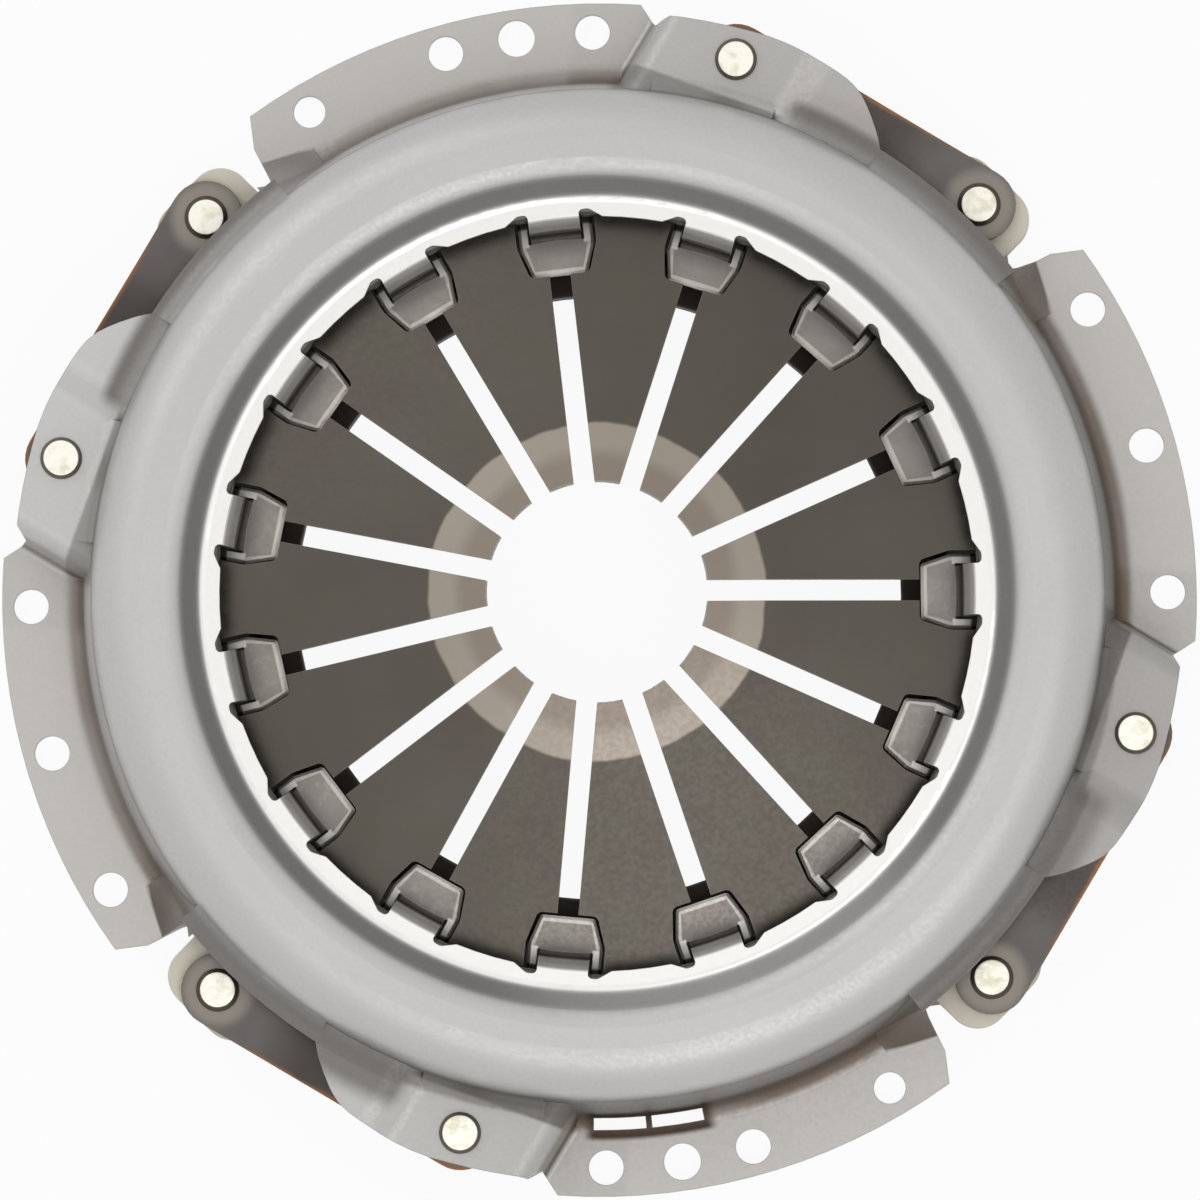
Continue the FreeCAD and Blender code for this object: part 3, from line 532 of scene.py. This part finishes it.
def rivet_steel():
    """Zinc-plated rivets, pale gold, dented where they were closed, with painted shade on their sides.
    """
    material, tree, shader, at = metal("rivet_finish", 0.72, 0.33)
    cloud = noise(tree, at.point, 260.0, detail=4.0)
    colour = tint(tree, ramp(tree, cloud, 0.32, 0.55), *ZINC)
    # Painted shade on the sides of the heads.
    colour = tint(tree, ramp(tree, steepness(tree), 0.03, 0.3), colour, ZINC_SIDE_SHADE)
    tree.links.new(colour, shader.inputs["Base Color"])
    relief(tree, shader, noise(tree, at.point, 330.0, detail=2.0), 0.5, 0.35 * MM, 0.6 * MM)
    return material


def flat_distance(tree, along, across):
    """How far a point of a leaf lies from the middle of one of its rivets."""
    away = add(tree, "CombineXYZ", {"X": along, "Y": across}).outputs[0]
    return add(tree, "VectorMath", {0: away}, operation="LENGTH").outputs["Value"]


def strap_steel(span):
    """Blued spring steel of the drive straps, with a rust-coloured film along the outline, a painted
    shadow of the ledge and painted shade round the lug rivets.

    The map of a leaf holds how far along and across it a point lies, in metres.
    """
    material, tree, shader, at = metal("strap_steel_finish", 0.70, 0.34)
    leaf = add(tree, "SeparateXYZ", {0: add(tree, "UVMap", uv_map="leaf").outputs[0]})
    along, across = leaf.outputs[0], leaf.outputs[1]
    past_pad = calc(tree, "MINIMUM", along, 0.0)
    past_lug = calc(tree, "MAXIMUM", calc(tree, "SUBTRACT", along, span), 0.0)
    reach = flat_distance(tree, calc(tree, "ADD", past_pad, past_lug), across)
    lug_gap = flat_distance(tree, calc(tree, "SUBTRACT", along, span), across)
    cloud = noise(tree, at.point, 70.0)
    fine = noise(tree, at.point, 800.0, detail=2.0)
    colour = tint(tree, cloud, *STRAP)
    pale = product(tree, ramp(tree, lug_gap, 11.0 * MM, 7.0 * MM), 0.45)
    colour = tint(tree, pale, colour, STRAP_PALE)
    # Painted shadow of the ledge.
    ledge_shadow = product(tree, between(tree, along, 30.0 * MM, 51.0 * MM, 9.0 * MM), 0.80)
    colour = tint(tree, ledge_shadow, colour, STRAP_LEDGE_SHADOW)
    film = calc(tree, "ADD", reach, product(tree, cloud, 1.6 * MM))
    film = product(tree, ramp(tree, film, 9.0 * MM, 10.3 * MM),
                   ramp(tree, along, span - 8.0 * MM, span - 20.0 * MM, 0.15, 1.0))
    colour = tint(tree, film, colour, STRAP_FILM)
    # Painted shade round the head of the lug rivet.
    rivet_shade = between(tree, lug_gap, 4.6 * MM, 5.6 * MM, 0.2 * MM)
    colour = tint(tree, rivet_shade, colour, STRAP_RIVET_SHADE)
    tree.links.new(colour, shader.inputs["Base Color"])
    tree.links.new(ramp(tree, fine, 0.3, 0.7, 0.30, 0.42), shader.inputs["Roughness"])
    relief(tree, shader, fine, 0.10, 0.04 * MM, 0.15 * MM)
    return material


def seen(tree):
    """1 for rays that come straight from the eye, a gloss or a clear piece."""
    path = add(tree, "LightPath")
    rays = calc(tree, "ADD", path.outputs["Is Camera Ray"], path.outputs["Is Glossy Ray"])
    return calc(tree, "ADD", rays, path.outputs["Is Transmission Ray"], clamp=True)


def background(name, colour):
    """White for the eye and for gloss, plainly shaded for the rest of the light, clear from below."""
    material = bpy.data.materials.new(name)
    material.use_nodes = True
    tree = material.node_tree
    tree.nodes.clear()
    lit = add(tree, "BsdfDiffuse", {"Color": (*colour, 1.0)}).outputs[0]
    glow = add(tree, "Emission", {"Color": (*WHITE, 1.0), "Strength": 1.0}).outputs[0]
    share = product(tree, seen(tree), floor_whiteness)
    mixed = add(tree, "MixShader", {0: share, 1: lit, 2: glow}).outputs[0]
    clear = add(tree, "BsdfTransparent").outputs[0]
    under = add(tree, "NewGeometry").outputs["Backfacing"]
    shown = add(tree, "MixShader", {0: under, 1: mixed, 2: clear}).outputs[0]
    add(tree, "OutputMaterial", {"Surface": shown})
    return material


# Pieces
def paint(obj, material):
    """The one material of a piece."""
    obj.data.materials.clear()
    obj.data.materials.append(material)


def break_edges(obj, width, segments=2):
    """Smooth shading, and a small bevel along the sharp edges."""
    obj.data.polygons.foreach_set("use_smooth", [True] * len(obj.data.polygons))
    edges = obj.modifiers.new("edges", "BEVEL")
    edges.width = width
    edges.segments = segments
    edges.limit_method = "ANGLE"
    edges.angle_limit = sharp_angle
    edges.harden_normals = True


def make_spring():
    """Diaphragm spring on the frame's outline, with broken edges."""
    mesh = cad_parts["diaphragm_spring"].data.copy()
    build = bmesh.new()
    build.from_mesh(mesh)
    bmesh.ops.remove_doubles(build, verts=build.verts, dist=weld_gap)
    bmesh.ops.dissolve_limit(build, angle_limit=flat_angle, verts=build.verts, edges=build.edges)
    build.to_mesh(mesh)
    build.free()
    if "custom_normal" in mesh.attributes:
        mesh.attributes.remove(mesh.attributes["custom_normal"])
    spring = bpy.data.objects.new("spring_diaphragm", mesh)
    bpy.context.scene.collection.objects.link(spring)
    break_edges(spring, spring_edge)
    paint(spring, spring_steel())
    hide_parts("diaphragm_spring")
    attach(spring, COVER)
    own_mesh(spring)


def rivet_centre(node):
    """Axis of a rivet, as a point in the plane of the flange."""
    low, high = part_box(node)
    return Vector(((low.x + high.x) / 2, (low.y + high.y) / 2, 0))


def make_leaf(node, pad, lug, material):
    """One leaf of a drive strap: flat under the pad, flat on the lug, a soft S between."""
    low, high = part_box(node)
    drop = high.z - low.z - leaf_thickness
    span = (lug - pad).length
    way = (lug - pad).normalized()
    side = Vector((-way.y, way.x, 0))
    build = bmesh.new()
    layer = build.loops.layers.uv.new("leaf")
    places = {}

    def point(along, across):
        share = min(max((along - leaf_flat) / (span - 2 * leaf_flat), 0.0), 1.0)
        z = high.z - leaf_thickness - drop * share * share * (3 - 2 * share)
        vert = build.verts.new(pad + way * along + side * across + Vector((0, 0, z)))
        places[vert] = (along, across)
        return vert

    def end(centre, start_deg):
        turns = [math.radians(start_deg + 180 * k / end_steps) for k in range(1, end_steps)]
        return [point(centre + leaf_half_width * math.cos(turn), leaf_half_width * math.sin(turn))
                for turn in turns]

    steps = [span * k / leaf_steps for k in range(leaf_steps + 1)]
    rows = [(point(u, -leaf_half_width), point(u, leaf_half_width)) for u in steps]
    for (a, b), (c, d) in zip(rows, rows[1:]):
        build.faces.new((a, c, d, b))
    build.faces.new([rows[0][0], rows[0][1]] + end(0.0, 90))
    build.faces.new([rows[-1][1], rows[-1][0]] + end(span, -90))
    for face in build.faces:
        for loop in face.loops:
            loop[layer].uv = places[loop.vert]
    top = bmesh.ops.extrude_face_region(build, geom=list(build.faces))["geom"]
    moved = [g for g in top if isinstance(g, bmesh.types.BMVert)]
    bmesh.ops.translate(build, verts=moved, vec=(0, 0, leaf_thickness))
    bmesh.ops.recalc_face_normals(build, faces=build.faces)
    mesh = bpy.data.meshes.new(node + "_shape")
    build.to_mesh(mesh)
    build.free()
    leaf = bpy.data.objects.new("bent_" + node, mesh)
    bpy.context.scene.collection.objects.link(leaf)
    break_edges(leaf, leaf_edge, segments=1)
    paint(leaf, material)
    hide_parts(node)
    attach(leaf, COVER)
    leaf.parent = None
    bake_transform(leaf)


def make_straps():
    """The leaves of all strap packs, alike but for their place."""
    first_pad, first_lug = rivet_centre("pad_rivet_1"), rivet_centre("lug_rivet_1")
    material = strap_steel((first_lug - first_pad).length)
    for k in range(1, POCKETS + 1):
        pad, lug = rivet_centre("pad_rivet_%d" % k), rivet_centre("lug_rivet_%d" % k)
        for level in ("top", "middle", "bottom"):
            make_leaf("strap_%d_%s_leaf" % (k, level), pad, lug, material)


def dress_frame():
    """Finishes of the CAD pieces."""
    finishes = {
        COVER: cover_steel(),
        PLATE: cast_iron(),
        "upper_pivot_ring": ring_wire(),
    }
    finishes["lower_pivot_ring"] = finishes["upper_pivot_ring"]
    rivets = rivet_steel()
    for k in range(1, POCKETS + 1):
        finishes["pad_rivet_%d" % k] = finishes["lug_rivet_%d" % k] = rivets
    for node, material in finishes.items():
        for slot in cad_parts[node].material_slots:
            slot.material = material


# Studio
def make_floor():
    """White floor just under the flange."""
    mesh = bpy.data.meshes.new("floor_shape")
    half = floor_half_width
    corners = [(-half, -half), (half, -half), (half, half), (-half, half)]
    mesh.from_pydata([(x, y, -floor_gap) for x, y in corners], [], [(0, 1, 2, 3)])
    floor = bpy.data.objects.new("floor", mesh)
    bpy.context.scene.collection.objects.link(floor)
    paint(floor, background("floor_finish", FLOOR))


def softbox(name, place, aim, size, power):
    """Square area light that looks from its place to its aim."""
    data = bpy.data.lights.new(name, "AREA")
    data.shape = "SQUARE"
    data.size = size
    data.energy = power
    lamp = bpy.data.objects.new(name, data)
    lamp.location = place
    lamp.rotation_euler = (Vector(aim) - Vector(place)).to_track_quat("-Z", "Y").to_euler()
    bpy.context.scene.collection.objects.link(lamp)


def make_light():
    """Two softboxes and a sky, which is white for the eye and for gloss."""
    softbox("key_softbox", *KEY_SOFTBOX)
    softbox("fill_softbox", *FILL_SOFTBOX)
    world = bpy.data.worlds.new("studio")
    bpy.context.scene.world = world
    world.use_nodes = True
    tree = world.node_tree
    tree.nodes.clear()
    shade = add(tree, "Background", {"Color": (*SKY_SHADE, 1.0), "Strength": sky_strength}).outputs[0]
    white = add(tree, "Background", {"Color": (*WHITE, 1.0), "Strength": 1.0}).outputs[0]
    mixed = add(tree, "MixShader", {0: seen(tree), 1: shade, 2: white}).outputs[0]
    add(tree, "OutputWorld", {"Surface": mixed})


def make_camera():
    """Looks down on the release side, a little from the front right, as in the photograph."""
    data = bpy.data.cameras.new("camera")
    data.sensor_width = sensor_width_mm
    data.lens = data.sensor_width * camera_distance / (frame_pixels * pixel)
    data.clip_end = 100.0
    camera = bpy.data.objects.new("camera", data)
    back = Vector((math.tan(tilt_to_right), -math.tan(tilt_to_front), 1.0)).normalized()
    right = Vector((0, 1, 0)).cross(back).normalized()
    up = back.cross(right)
    turn = Matrix((right, up, back)).transposed().to_4x4()
    camera.matrix_world = Matrix.Translation(back * camera_distance + right * photo_shift) @ turn
    bpy.context.scene.collection.objects.link(camera)
    bpy.context.scene.camera = camera


bpy.context.scene.view_settings.view_transform = "Standard"
dress_frame()
make_spring()
make_straps()
make_floor()
make_light()
make_camera()
